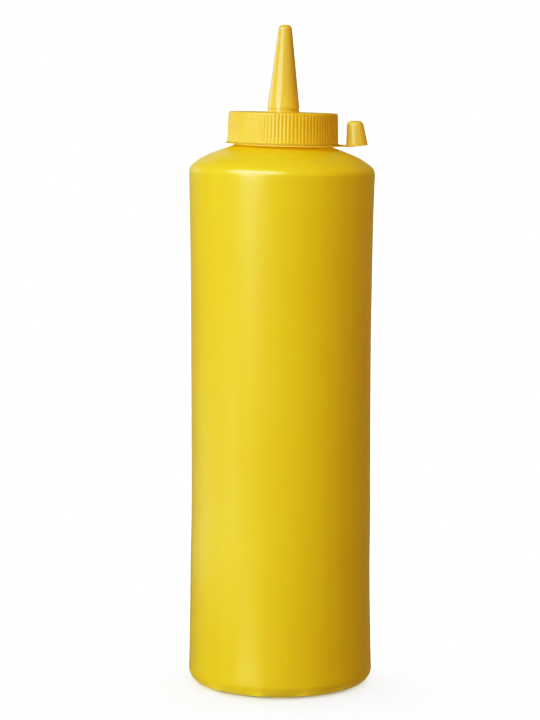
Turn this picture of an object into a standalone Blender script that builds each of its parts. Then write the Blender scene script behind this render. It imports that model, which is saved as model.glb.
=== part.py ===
"""Condiment squeeze bottle: blown bottle, ribbed screw cap with its nozzle, tethered tip cap.

Metres, +Z up, origin on the floor under the middle of the base. Every height is measured
along the bottle's own axis. The axis is straight up to BEND_START and then leans a little
towards +X, so all that sits on the neck leans by BEND_ANGLE.
"""
import math

import bpy

MM = 0.001

# Bottle: a waisted wall between a rounded base and a domed shoulder, then the neck.
BODY_RADIUS = 35.2 * MM
WAIST_DEPTH = 0.9 * MM
WAIST_POWER = 2.5
BASE_CORNER_RADIUS = 5.0 * MM
RIDGE_HEIGHT = 194.8 * MM
RIDGE_CORNER_RADIUS = 4.2 * MM
RIDGE_TURN = math.radians(50)
SHOULDER_RADIUS = 25.0 * MM
SHOULDER_TURN = math.radians(70)
CONTACT_RING_INNER = 24.5 * MM
PUSH_UP_RADIUS = 22.5 * MM
PUSH_UP_EDGE = 1.8 * MM
PUSH_UP_CENTRE = 2.4 * MM
NECK_BEAD_RADIUS = 19.2 * MM
NECK_BEAD_TOP = 205.9 * MM
NECK_RADIUS = 18.2 * MM
NECK_TOP = 215.6 * MM
NECK_CHAMFER = 0.6 * MM
BEND_START = 117.5 * MM
BEND_ANGLE = math.radians(1.3)

# Screw cap: a drafted skirt with ribs, a flat top and a cone nozzle.
CAP_FOOT = 206.3 * MM
CAP_TOP = 217.8 * MM
CAP_RADIUS_FOOT = 21.0 * MM
CAP_RADIUS_TOP = 20.65 * MM
CAP_FLARE = 0.4 * MM
CAP_FLARE_HEIGHT = 0.5 * MM
CAP_EDGE_RADIUS = 0.6 * MM
CAP_BORE_RADIUS = 18.8 * MM
CAP_BORE_TOP = 216.0 * MM
RIB_COUNT = 94
RIB_DEPTH = 0.4 * MM
RIB_ROOT_WIDTH = 0.9 * MM
RIB_CREST_WIDTH = 0.45 * MM
RIB_ROOTED = 0.5 * MM
RIB_FOOT = 206.8 * MM
RIB_TOP = 217.4 * MM
RIB_TOP_CHAMFER = 0.7 * MM

NOZZLE_SWELL_RADIUS = 6.0 * MM
NOZZLE_SWELL_HEIGHT = 219.3 * MM
NOZZLE_FOOT_RADIUS = 5.6 * MM
NOZZLE_NECK_RADIUS = 2.55 * MM
NOZZLE_NECK_HEIGHT = 248.75 * MM
NOZZLE_TIP_ROUND = 2.2 * MM
NOZZLE_LIP_RADIUS = 1.1 * MM
ORIFICE_RADIUS = 1.0 * MM
ORIFICE_DEPTH = 16.0 * MM
NOZZLE_ROOTED = 0.9 * MM

# Tether: a collar round the neck under the skirt, a short strap, and a hollow tip cap.
COLLAR_BORE_RADIUS = 19.55 * MM
COLLAR_SEAT_RADIUS = 20.9 * MM
COLLAR_RIM_RADIUS = 22.05 * MM
COLLAR_BOTTOM = 205.3 * MM
COLLAR_TOP = 206.0 * MM
COLLAR_RIM_THICKNESS = 0.25 * MM
COLLAR_FLARE_MIDDLE = (21.3 * MM, 205.69 * MM)
STRAP_WIDTH = 5.5 * MM
STRAP_THICKNESS = 0.6 * MM
STRAP_RAISED = 0.02 * MM
STRAP_START = 20.6 * MM
STRAP_END = 25.3 * MM
TIP_CENTRE = 28.3 * MM
TIP_MOUTH_HEIGHT = 205.81 * MM
TIP_LEAN_BACK = math.radians(-5.8)
TIP_MOUTH_RADIUS = 4.03 * MM
TIP_LIP = 0.15 * MM
TIP_LIP_HEIGHT = 0.35 * MM
TIP_HEIGHT = 9.6 * MM
TIP_TAPER = math.radians(5.6)
TIP_CORNER_RADIUS = 1.7 * MM
TIP_WALL = 0.5 * MM
TIP_CROWN = 0.7 * MM
TIP_INNER_CORNER_RADIUS = 1.2 * MM
TIP_CAVITY_OVERRUN = 0.6 * MM

WALL_ROWS = 10
BODY_STEPS = 64
CAP_STEPS = RIB_COUNT
COLLAR_STEPS = 64
SMALL_STEPS = 32
MERGE = 0.00001


def clear_scene():
    """Remove every object the file starts with."""
    for obj in list(bpy.data.objects):
        bpy.data.objects.remove(obj, do_unlink=True)


def new_collection(name):
    """A collection linked to the scene."""
    collection = bpy.data.collections.new(name)
    bpy.context.scene.collection.children.link(collection)
    return collection


def plastic(name, colour, roughness):
    """A plain plastic material."""
    material = bpy.data.materials.new(name)
    material.use_nodes = True
    shader = material.node_tree.nodes["Principled BSDF"]
    shader.inputs["Base Color"].default_value = (*colour, 1.0)
    shader.inputs["Roughness"].default_value = roughness
    shader.inputs["Metallic"].default_value = 0.0
    material.diffuse_color = (*colour, 1.0)
    return material


def arc(centre, radius, start, end, pieces):
    """Profile points along an arc, both ends included. Angle 0 points outwards, 90 degrees up."""
    points = []
    for i in range(pieces + 1):
        angle = start + (end - start) * i / pieces
        points.append((centre[0] + radius * math.cos(angle), centre[1] + radius * math.sin(angle)))
    return points


def turned(name, profile, steps, collection, closed=False):
    """An object turned about Z from (radius, height) points that run down its outer side."""
    mesh = bpy.data.meshes.new(name)
    edges = [(i, i + 1) for i in range(len(profile) - 1)]
    if closed:
        edges.append((len(profile) - 1, 0))
    mesh.from_pydata([(radius, 0.0, height) for radius, height in profile], edges, [])
    obj = bpy.data.objects.new(name, mesh)
    collection.objects.link(obj)
    screw = obj.modifiers.new("turn", "SCREW")
    screw.axis = "Z"
    screw.angle = 2 * math.pi
    screw.steps = steps
    screw.render_steps = steps
    screw.use_merge_vertices = True
    screw.merge_threshold = MERGE
    screw.use_smooth_shade = True
    return obj


def block(name, low, high, collection):
    """A box between two corners."""
    bpy.ops.mesh.primitive_cube_add(size=1.0)
    obj = bpy.context.active_object
    obj.name = name
    for vertex in obj.data.vertices:
        vertex.co = [low[k] if vertex.co[k] < 0 else high[k] for k in range(3)]
    for owner in list(obj.users_collection):
        owner.objects.unlink(obj)
    collection.objects.link(obj)
    return obj


def guide(obj):
    """Mark an object as a construction guide that isn't part of the model."""
    obj.hide_render = True
    obj.display_type = "WIRE"
    return obj


def combine(obj, other, operation):
    """Join or cut with another object, which stays as a guide."""
    step = obj.modifiers.new(operation.lower(), "BOOLEAN")
    step.operation = operation
    step.object = other
    step.solver = "EXACT"
    guide(other)


def empty(name, location, turn, collection):
    """An empty turned about Y."""
    obj = bpy.data.objects.new(name, None)
    obj.location = location
    obj.rotation_euler = (0.0, turn, 0.0)
    collection.objects.link(obj)
    return obj


def wall_radius(height):
    """Radius of the waisted wall between the base corner and the shoulder ridge."""
    middle = (BASE_CORNER_RADIUS + RIDGE_HEIGHT) / 2
    half_span = (RIDGE_HEIGHT - BASE_CORNER_RADIUS) / 2
    flare = (abs(height - middle) / half_span) ** WAIST_POWER
    return BODY_RADIUS - WAIST_DEPTH * (1.0 - flare)


def bottle_profile():
    """The bottle's outline from the middle of the neck's top down to the middle of the base."""
    ridge_centre = (BODY_RADIUS - RIDGE_CORNER_RADIUS, RIDGE_HEIGHT)
    reach = SHOULDER_RADIUS - RIDGE_CORNER_RADIUS
    shoulder_centre = (
        ridge_centre[0] - reach * math.cos(RIDGE_TURN),
        ridge_centre[1] - reach * math.sin(RIDGE_TURN),
    )
    shoulder = arc(shoulder_centre, SHOULDER_RADIUS, SHOULDER_TURN, RIDGE_TURN, 4)
    slope = math.tan(math.pi / 2 - SHOULDER_TURN)
    neck_root = shoulder[0][1] + (shoulder[0][0] - NECK_BEAD_RADIUS) * slope
    wall = []
    for i in range(1, WALL_ROWS):
        height = RIDGE_HEIGHT + (BASE_CORNER_RADIUS - RIDGE_HEIGHT) * i / WALL_ROWS
        wall.append((wall_radius(height), height))
    corner_centre = (BODY_RADIUS - BASE_CORNER_RADIUS, BASE_CORNER_RADIUS)
    profile = [
        (0.0, NECK_TOP),
        (NECK_RADIUS - NECK_CHAMFER, NECK_TOP),
        (NECK_RADIUS, NECK_TOP - NECK_CHAMFER),
        (NECK_RADIUS, NECK_BEAD_TOP),
        (NECK_BEAD_RADIUS, NECK_BEAD_TOP),
        (NECK_BEAD_RADIUS, neck_root),
    ]
    profile += shoulder
    profile += arc(ridge_centre, RIDGE_CORNER_RADIUS, RIDGE_TURN, 0.0, 5)[1:]
    profile += wall
    profile += arc(corner_centre, BASE_CORNER_RADIUS, 0.0, -math.pi / 2, 6)
    profile += [
        (CONTACT_RING_INNER, 0.0),
        (PUSH_UP_RADIUS, PUSH_UP_EDGE),
        (0.0, PUSH_UP_CENTRE),
    ]
    return profile


def make_bottle(parts, guides, material):
    """The blown bottle, solid to the top of its neck."""
    bottle = turned("bottle", bottle_profile(), BODY_STEPS, parts)
    bend_start = guide(empty("bend_start", (0.0, 0.0, BEND_START), 0.0, guides))
    bend = bottle.modifiers.new("lean", "SIMPLE_DEFORM")
    bend.deform_method = "BEND"
    bend.deform_axis = "Y"
    bend.origin = bend_start
    bend.angle = BEND_ANGLE
    bend.limits = (BEND_START / NECK_TOP, 1.0)
    bottle.data.materials.append(material)
    return bottle


def closure_axis(guides):
    """An empty whose +Z runs up the leaning neck, with heights as along the bottle's axis."""
    bend_radius = (NECK_TOP - BEND_START) / BEND_ANGLE
    top_x = bend_radius * (1.0 - math.cos(BEND_ANGLE))
    top_z = BEND_START + bend_radius * math.sin(BEND_ANGLE)
    location = (
        top_x - NECK_TOP * math.sin(BEND_ANGLE),
        0.0,
        top_z - NECK_TOP * math.cos(BEND_ANGLE),
    )
    return empty("closure_axis", location, BEND_ANGLE, guides)


def cap_radius(height):
    """Radius over the rib crests on the drafted skirt."""
    share = (height - CAP_FOOT) / (CAP_TOP - CAP_FOOT)
    return CAP_RADIUS_FOOT + (CAP_RADIUS_TOP - CAP_RADIUS_FOOT) * share


def make_rib(guides):
    """One rib on the +X side, with a slanted top end, rooted in the skirt's wall."""
    low = (cap_radius(RIB_FOOT) - RIB_DEPTH - RIB_ROOTED, -RIB_ROOT_WIDTH / 2, RIB_FOOT)
    high = (cap_radius(RIB_FOOT), RIB_ROOT_WIDTH / 2, RIB_TOP)
    rib = block("ribs", low, high, guides)
    middle_radius = (low[0] + high[0]) / 2
    middle_height = (low[2] + high[2]) / 2
    crest = [vertex for vertex in rib.data.vertices if vertex.co.x > middle_radius]
    for vertex in crest:
        vertex.co.y *= RIB_CREST_WIDTH / RIB_ROOT_WIDTH
        if vertex.co.z > middle_height:
            vertex.co.z -= RIB_TOP_CHAMFER
            vertex.co.x = cap_radius(vertex.co.z)
    return rib


def make_ribs(guides, parent):
    """All the ribs, repeated round the skirt."""
    rib = make_rib(guides)
    turn_step = guide(empty("rib_step", (0.0, 0.0, 0.0), 0.0, guides))
    turn_step.rotation_euler = (0.0, 0.0, 2 * math.pi / RIB_COUNT)
    turn_step.parent = rib
    row = rib.modifiers.new("round", "ARRAY")
    row.count = RIB_COUNT
    row.use_relative_offset = False
    row.use_object_offset = True
    row.offset_object = turn_step
    rib.parent = parent
    return rib


def nozzle_profile():
    """The nozzle's outline from the bottom of its orifice, over the lip and down to its root."""
    taper = math.atan(
        (NOZZLE_SWELL_RADIUS - NOZZLE_NECK_RADIUS) / (NOZZLE_NECK_HEIGHT - NOZZLE_SWELL_HEIGHT)
    )
    tip_centre = (
        NOZZLE_NECK_RADIUS - NOZZLE_TIP_ROUND * math.cos(taper),
        NOZZLE_NECK_HEIGHT - NOZZLE_TIP_ROUND * math.sin(taper),
    )
    lip_angle = math.acos((NOZZLE_LIP_RADIUS - tip_centre[0]) / NOZZLE_TIP_ROUND)
    tip = arc(tip_centre, NOZZLE_TIP_ROUND, lip_angle, taper, 4)
    lip_height = tip[0][1]
    profile = [
        (0.0, lip_height - ORIFICE_DEPTH),
        (ORIFICE_RADIUS, lip_height - ORIFICE_DEPTH),
        (ORIFICE_RADIUS, lip_height),
    ]
    profile += tip
    profile += [
        (NOZZLE_SWELL_RADIUS, NOZZLE_SWELL_HEIGHT),
        (NOZZLE_FOOT_RADIUS, CAP_TOP),
        (NOZZLE_FOOT_RADIUS, CAP_TOP - NOZZLE_ROOTED),
        (0.0, CAP_TOP - NOZZLE_ROOTED),
    ]
    return profile


def cap_profile():
    """The skirt between the ribs, with the flat top, from the top's middle down and up the bore."""
    top_wall = cap_radius(CAP_TOP) - RIB_DEPTH
    edge_centre = (top_wall - CAP_EDGE_RADIUS, CAP_TOP - CAP_EDGE_RADIUS)
    flare_start = CAP_FOOT + CAP_FLARE_HEIGHT
    profile = [(0.0, CAP_TOP)]
    profile += arc(edge_centre, CAP_EDGE_RADIUS, math.pi / 2, 0.0, 3)
    profile += [
        (cap_radius(flare_start) - RIB_DEPTH, flare_start),
        (cap_radius(CAP_FOOT) + CAP_FLARE, CAP_FOOT),
        (CAP_BORE_RADIUS, CAP_FOOT),
        (CAP_BORE_RADIUS, CAP_BORE_TOP),
        (0.0, CAP_BORE_TOP),
    ]
    return profile


def make_screw_cap(parts, guides, axis, material):
    """The ribbed cap and its nozzle, one moulding."""
    cap = turned("screw_cap", cap_profile(), CAP_STEPS, parts)
    cap.parent = axis
    nozzle = turned("nozzle", nozzle_profile(), SMALL_STEPS, guides)
    nozzle.parent = axis
    combine(cap, nozzle, "UNION")
    combine(cap, make_ribs(guides, axis), "UNION")
    cap.data.materials.append(material)
    return cap


def collar_profile():
    """The collar's closed section, with a hollow flare out to a thin rim."""
    return [
        (COLLAR_BORE_RADIUS, COLLAR_TOP),
        (COLLAR_SEAT_RADIUS, COLLAR_TOP),
        COLLAR_FLARE_MIDDLE,
        (COLLAR_RIM_RADIUS, COLLAR_BOTTOM + COLLAR_RIM_THICKNESS),
        (COLLAR_RIM_RADIUS, COLLAR_BOTTOM),
        (COLLAR_BORE_RADIUS, COLLAR_BOTTOM),
    ]


def tip_outer_profile():
    """The tip cap's outside, heights from its mouth."""
    crown_radius = TIP_MOUTH_RADIUS - TIP_HEIGHT * math.tan(TIP_TAPER)
    corner_centre = (crown_radius - TIP_CORNER_RADIUS, TIP_HEIGHT - TIP_CORNER_RADIUS)
    lip_top = TIP_MOUTH_RADIUS - TIP_LIP_HEIGHT * math.tan(TIP_TAPER)
    profile = [(0.0, TIP_HEIGHT)]
    profile += arc(corner_centre, TIP_CORNER_RADIUS, math.pi / 2, TIP_TAPER, 5)
    profile += [
        (lip_top, TIP_LIP_HEIGHT),
        (TIP_MOUTH_RADIUS + TIP_LIP, 0.0),
        (0.0, 0.0),
    ]
    return profile


def tip_cavity_profile():
    """The tip cap's inside, running out below the mouth."""
    slope = math.tan(TIP_TAPER)
    mouth_radius = TIP_MOUTH_RADIUS - TIP_WALL
    cavity_top = TIP_HEIGHT - TIP_CROWN
    end_radius = mouth_radius - cavity_top * slope
    corner_centre = (end_radius - TIP_INNER_CORNER_RADIUS, cavity_top - TIP_INNER_CORNER_RADIUS)
    profile = [(0.0, cavity_top)]
    profile += arc(corner_centre, TIP_INNER_CORNER_RADIUS, math.pi / 2, TIP_TAPER, 4)
    profile += [
        (mouth_radius + TIP_CAVITY_OVERRUN * slope, -TIP_CAVITY_OVERRUN),
        (0.0, -TIP_CAVITY_OVERRUN),
    ]
    return profile


def make_tip_cap(parts, guides, axis, material):
    """The collar, strap and tip cap, one moulding."""
    tether = turned("tip_cap", collar_profile(), COLLAR_STEPS, parts, closed=True)
    tether.parent = axis
    strap = block(
        "strap",
        (STRAP_START, -STRAP_WIDTH / 2, COLLAR_BOTTOM + STRAP_RAISED),
        (STRAP_END, STRAP_WIDTH / 2, COLLAR_BOTTOM + STRAP_THICKNESS),
        guides,
    )
    strap.parent = axis
    tip_axis = guide(empty("tip_axis", (TIP_CENTRE, 0.0, TIP_MOUTH_HEIGHT), TIP_LEAN_BACK, guides))
    tip_axis.parent = axis
    outside = turned("tip_outside", tip_outer_profile(), SMALL_STEPS, guides)
    outside.parent = tip_axis
    cavity = turned("tip_cavity", tip_cavity_profile(), SMALL_STEPS, guides)
    cavity.parent = tip_axis
    combine(tether, strap, "UNION")
    combine(tether, outside, "UNION")
    combine(tether, cavity, "DIFFERENCE")
    tether.data.materials.append(material)
    return tether


def main():
    """Build the whole bottle."""
    clear_scene()
    parts = new_collection("condiment_squeeze_bottle")
    guides = new_collection("guides")
    make_bottle(parts, guides, plastic("bottle_yellow", (0.80, 0.54, 0.02), 0.38))
    axis = guide(closure_axis(guides))
    make_screw_cap(parts, guides, axis, plastic("cap_yellow", (0.84, 0.58, 0.05), 0.32))
    make_tip_cap(parts, guides, axis, plastic("tip_yellow", (0.80, 0.56, 0.07), 0.36))
    bpy.context.view_layer.update()


main()
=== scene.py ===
"""Looks of the condiment squeeze bottle: blown bottle, ribbed screw cap with its nozzle, tethered tip cap.

Metres, +Z up, origin on the floor under the middle of the base. Heights are measured along the bottle's own
axis, which is straight up to the middle of the wall and then leans a little towards +X. The closures sit on
that leaning axis, so they are made upright and turned into place at the end.
"""

import logging
import math
from collections.abc import Iterable
from dataclasses import dataclass
from enum import Enum

import bmesh
import bpy
from mathutils import Matrix, Vector


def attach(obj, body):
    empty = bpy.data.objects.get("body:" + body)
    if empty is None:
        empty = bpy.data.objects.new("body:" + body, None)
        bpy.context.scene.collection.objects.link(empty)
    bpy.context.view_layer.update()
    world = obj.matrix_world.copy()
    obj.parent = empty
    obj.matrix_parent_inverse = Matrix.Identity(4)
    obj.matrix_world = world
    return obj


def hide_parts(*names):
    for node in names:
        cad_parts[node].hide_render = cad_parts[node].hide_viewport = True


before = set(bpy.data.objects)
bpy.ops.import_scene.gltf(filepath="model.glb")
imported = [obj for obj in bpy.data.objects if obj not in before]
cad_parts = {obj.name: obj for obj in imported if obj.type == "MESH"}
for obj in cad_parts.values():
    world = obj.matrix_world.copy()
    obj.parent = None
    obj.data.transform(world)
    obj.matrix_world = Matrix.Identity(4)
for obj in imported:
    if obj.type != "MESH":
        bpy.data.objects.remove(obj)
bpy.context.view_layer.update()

MM = 0.001
MERGE = 0.001 * MM
COMBINED_CURVE = 3
BODY = "root"
LOG = logging.getLogger("squeeze_bottle")

Point = tuple[float, float]
Colour = tuple[float, float, float]
Settings = dict[str, object]
Values = dict[str | int, object]

BLACK: Colour = (0.0, 0.0, 0.0)
WHITE: Colour = (1.0, 1.0, 1.0)


class Slot(Enum):
    """The record's material slots."""

    BOTTLE = "bottle_yellow"
    CAP = "cap_yellow"
    TIP = "tip_yellow"


# ---------------------------------------------------------------------------------------------------------
# Node trees written as expressions
# ---------------------------------------------------------------------------------------------------------


class Wire:
    """A socket that can stand in a Python expression, where each operator adds a Math node."""

    def __init__(self, graph: "Graph", socket: bpy.types.NodeSocket) -> None:
        """Wrap an output socket of a tree."""
        self.graph = graph
        self.socket = socket

    def math(self, operation: str, *operands: "Wire | float") -> "Wire":
        """Add a Math node.

        Args:
            operation: The node's operation.
            operands: What goes into its sockets, in order.

        Returns:
            The node's result.
        """
        return self.graph.wire("ShaderNodeMath", {"operation": operation}, dict(enumerate(operands)))

    def __add__(self, other: "Wire | float") -> "Wire":
        """This plus another."""
        return self.math("ADD", self, other)

    def __radd__(self, other: float) -> "Wire":
        """A number plus this."""
        return self.math("ADD", other, self)

    def __sub__(self, other: "Wire | float") -> "Wire":
        """This less another."""
        return self.math("SUBTRACT", self, other)

    def __rsub__(self, other: float) -> "Wire":
        """A number less this."""
        return self.math("SUBTRACT", other, self)

    def __mul__(self, other: "Wire | float") -> "Wire":
        """This times another."""
        return self.math("MULTIPLY", self, other)

    def __rmul__(self, other: float) -> "Wire":
        """A number times this."""
        return self.math("MULTIPLY", other, self)

    def __truediv__(self, other: "Wire | float") -> "Wire":
        """This over another."""
        return self.math("DIVIDE", self, other)

    def __pow__(self, other: "Wire | float") -> "Wire":
        """This to a power."""
        return self.math("POWER", self, other)

    def __abs__(self) -> "Wire":
        """This without its sign."""
        return self.math("ABSOLUTE", self)

    def floor(self) -> "Wire":
        """The whole number below this."""
        return self.math("FLOOR", self)

    def sin(self) -> "Wire":
        """The sine of this."""
        return self.math("SINE", self)

    def cos(self) -> "Wire":
        """The cosine of this."""
        return self.math("COSINE", self)

    def smaller(self, other: "Wire | float") -> "Wire":
        """The smaller of this and another."""
        return self.math("MINIMUM", self, other)

    def larger(self, other: "Wire | float") -> "Wire":
        """The larger of this and another."""
        return self.math("MAXIMUM", self, other)

    def above(self, other: "Wire | float") -> "Wire":
        """One where this is above another, else zero."""
        return self.math("GREATER_THAN", self, other)

    def clipped(self) -> "Wire":
        """This kept from zero to one."""
        return self.larger(0.0).smaller(1.0)

    def rise(self, low: "Wire | float", high: "Wire | float") -> "Wire":
        """A smooth step.

        Args:
            low: Where the step is still zero.
            high: Where the step is one.

        Returns:
            Zero at low, one at high, and level at both.
        """
        share = ((self - low) / (self.graph.number(high) - low)).clipped()
        return share * share * (3.0 - 2.0 * share)

    def bump(self, half_width: "Wire | float") -> "Wire":
        """A smooth hump.

        Args:
            half_width: Where the hump has come down to zero.

        Returns:
            One where this is zero, and zero past half_width on both sides.
        """
        share = 1.0 - (self / half_width) ** 2.0
        raised = share.larger(0.0)
        return raised * raised


class Graph:
    """Adds nodes to one tree."""

    def __init__(self, tree: bpy.types.NodeTree) -> None:
        """Work on a tree."""
        self.tree = tree

    @staticmethod
    def socket(sockets: Iterable[bpy.types.NodeSocket], key: str | int) -> bpy.types.NodeSocket:
        """Find a socket.

        Args:
            sockets: A node's inputs or outputs.
            key: Its place, its identifier, or its name among the sockets in use.

        Returns:
            The socket.
        """
        if isinstance(key, int):
            return sockets[key]
        for found in sockets:
            if found.identifier == key:
                return found
        return next(found for found in sockets if found.name == key and found.enabled)

    def node(
        self, kind: str, settings: Settings | None = None, values: Values | None = None
    ) -> bpy.types.Node:
        """Add any node.

        Args:
            kind: The node's type.
            settings: Its properties, set first.
            values: Numbers or wires for its sockets.

        Returns:
            The node.
        """
        made = self.tree.nodes.new(kind)
        for name, value in (settings or {}).items():
            setattr(made, name, value)
        for key, value in (values or {}).items():
            target = self.socket(made.inputs, key)
            if isinstance(value, Wire):
                self.tree.links.new(value.socket, target)
            else:
                target.default_value = value
        return made

    def wire(
        self,
        kind: str,
        settings: Settings | None = None,
        values: Values | None = None,
        output: str | int = 0,
    ) -> Wire:
        """Add any node and take one of its outputs.

        Args:
            kind: The node's type.
            settings: Its properties, set first.
            values: Numbers or wires for its sockets.
            output: Which output to take.

        Returns:
            That output.
        """
        return Wire(self, self.socket(self.node(kind, settings, values).outputs, output))

    def number(self, value: Wire | float) -> Wire:
        """A number as a wire.

        Args:
            value: The number, or a wire, which stays as it is.

        Returns:
            The wire.
        """
        if isinstance(value, Wire):
            return value
        return self.wire("ShaderNodeMath", {"operation": "ADD"}, {0: value, 1: 0.0})

    def split(self, vector: Wire) -> tuple[Wire, Wire, Wire]:
        """The three parts of a vector."""
        parts = self.node("ShaderNodeSeparateXYZ", None, {"Vector": vector})
        return Wire(self, parts.outputs[0]), Wire(self, parts.outputs[1]), Wire(self, parts.outputs[2])

    def vector(self, x: Wire | float, y: Wire | float, z: Wire | float) -> Wire:
        """A vector of three parts."""
        return self.wire("ShaderNodeCombineXYZ", None, {0: x, 1: y, 2: z})


class ShapeTree(Graph):
    """A geometry tree with named inputs for its sizes."""

    def __init__(self, name: str) -> None:
        """Start a tree whose first input and output are the geometry.

        Args:
            name: The tree's name.
        """
        super().__init__(bpy.data.node_groups.new(name, "GeometryNodeTree"))
        interface = self.tree.interface
        interface.new_socket(name="Geometry", in_out="INPUT", socket_type="NodeSocketGeometry")
        interface.new_socket(name="Geometry", in_out="OUTPUT", socket_type="NodeSocketGeometry")
        self.sizes_in = self.node("NodeGroupInput")
        self.shape_out = self.node("NodeGroupOutput")
        self.identifiers: dict[str, str] = {}
        self.geometry = Wire(self, self.sizes_in.outputs[0])

    def size(self, name: str, socket_type: str = "NodeSocketFloat") -> Wire:
        """A named input.

        Args:
            name: What the size is called.
            socket_type: What kind of value it holds.

        Returns:
            The input, ready for an expression.
        """
        made = self.tree.interface.new_socket(name=name, in_out="INPUT", socket_type=socket_type)
        self.identifiers[name] = made.identifier
        return Wire(self, self.socket(self.sizes_in.outputs, made.identifier))

    def count(self, name: str) -> Wire:
        """A named whole-number input."""
        return self.size(name, "NodeSocketInt")

    def close(self, geometry: Wire) -> None:
        """End the tree with plain geometry in its material.

        Args:
            geometry: What the tree has made.
        """
        material = self.size("Material", "NodeSocketMaterial")
        real = self.wire("GeometryNodeRealizeInstances", None, {"Geometry": geometry})
        dressed = self.wire("GeometryNodeSetMaterial", None, {"Geometry": real, "Material": material})
        self.tree.links.new(dressed.socket, self.shape_out.inputs[0])

    def attach(self, piece: bpy.types.Object, sizes: dict[str, object]) -> None:
        """Run the tree on a piece.

        Args:
            piece: The object that gets the modifier.
            sizes: A value for each named input.
        """
        modifier = piece.modifiers.new(self.tree.name, "NODES")
        modifier.node_group = self.tree
        for name, value in sizes.items():
            modifier[self.identifiers[name]] = value


# ---------------------------------------------------------------------------------------------------------
# Meshes
# ---------------------------------------------------------------------------------------------------------


def arc(centre: Point, radius: float, start: float, end: float, pieces: int) -> list[Point]:
    """Points along an arc.

    Args:
        centre: The arc's centre, as radius and height.
        radius: The arc's radius.
        start: Its first angle in radians, 0 outwards and a quarter turn up.
        end: Its last angle.
        pieces: How many straight pieces it has.

    Returns:
        The points, both ends included.
    """
    angles = [start + (end - start) * i / pieces for i in range(pieces + 1)]
    return [(centre[0] + radius * math.cos(a), centre[1] + radius * math.sin(a)) for a in angles]


def line(start: Point, end: Point, pieces: int) -> list[Point]:
    """Points along a straight line, without its two ends."""
    shares = [i / pieces for i in range(1, pieces)]
    return [(start[0] + (end[0] - start[0]) * s, start[1] + (end[1] - start[1]) * s) for s in shares]


def new_object(name: str, data: bpy.types.ID) -> bpy.types.Object:
    """An object in the scene.

    Args:
        name: The object's name.
        data: Its mesh, light or camera.

    Returns:
        The object.
    """
    made = bpy.data.objects.new(name, data)
    bpy.context.scene.collection.objects.link(made)
    return made


def outline_object(name: str, outline: list[Point]) -> bpy.types.Object:
    """An object that holds an outline as loose points, radius on X and height on Z.

    Args:
        name: The object's name.
        outline: The points, as radius and height.

    Returns:
        The object.
    """
    mesh = bpy.data.meshes.new(name)
    mesh.from_pydata([(radius, 0.0, height) for radius, height in outline], [], [])
    return new_object(name, mesh)


def settle(piece: bpy.types.Object, crease: float) -> bpy.types.Object:
    """Turn what a piece's modifiers make into its own plain mesh.

    Args:
        piece: The object, whose modifiers are then removed.
        crease: Edges that turn more than this angle stay sharp.

    Returns:
        The same object.
    """
    depsgraph = bpy.context.evaluated_depsgraph_get()
    mesh = bpy.data.meshes.new_from_object(piece.evaluated_get(depsgraph), depsgraph=depsgraph)
    mesh.name = piece.name
    piece.modifiers.clear()
    piece.data = mesh
    mesh.shade_smooth()
    mesh.set_sharp_from_angle(angle=crease)
    return piece


def fuse(piece: bpy.types.Object, others: list[bpy.types.Object], crease: float) -> bpy.types.Object:
    """Make one closed skin of several that overlap.

    Args:
        piece: The object that keeps the result.
        others: The objects that are joined to it and removed.
        crease: Edges that turn more than this angle stay sharp.

    Returns:
        The piece.
    """
    for other in others:
        union = piece.modifiers.new(other.name, "BOOLEAN")
        union.operation = "UNION"
        union.solver = "EXACT"
        union.object = other
    settle(piece, crease)
    for other in others:
        bpy.data.objects.remove(other)
    return without_slivers(piece)


def without_slivers(piece: bpy.types.Object) -> bpy.types.Object:
    """Merge the doubled points that joining leaves, and the slivers between them.

    Args:
        piece: The joined piece.

    Returns:
        The same piece.
    """
    skin = bmesh.new()
    skin.from_mesh(piece.data)
    bmesh.ops.remove_doubles(skin, verts=skin.verts, dist=MERGE)
    bmesh.ops.dissolve_degenerate(skin, edges=skin.edges, dist=MERGE)
    skin.to_mesh(piece.data)
    skin.free()
    return piece


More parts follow.
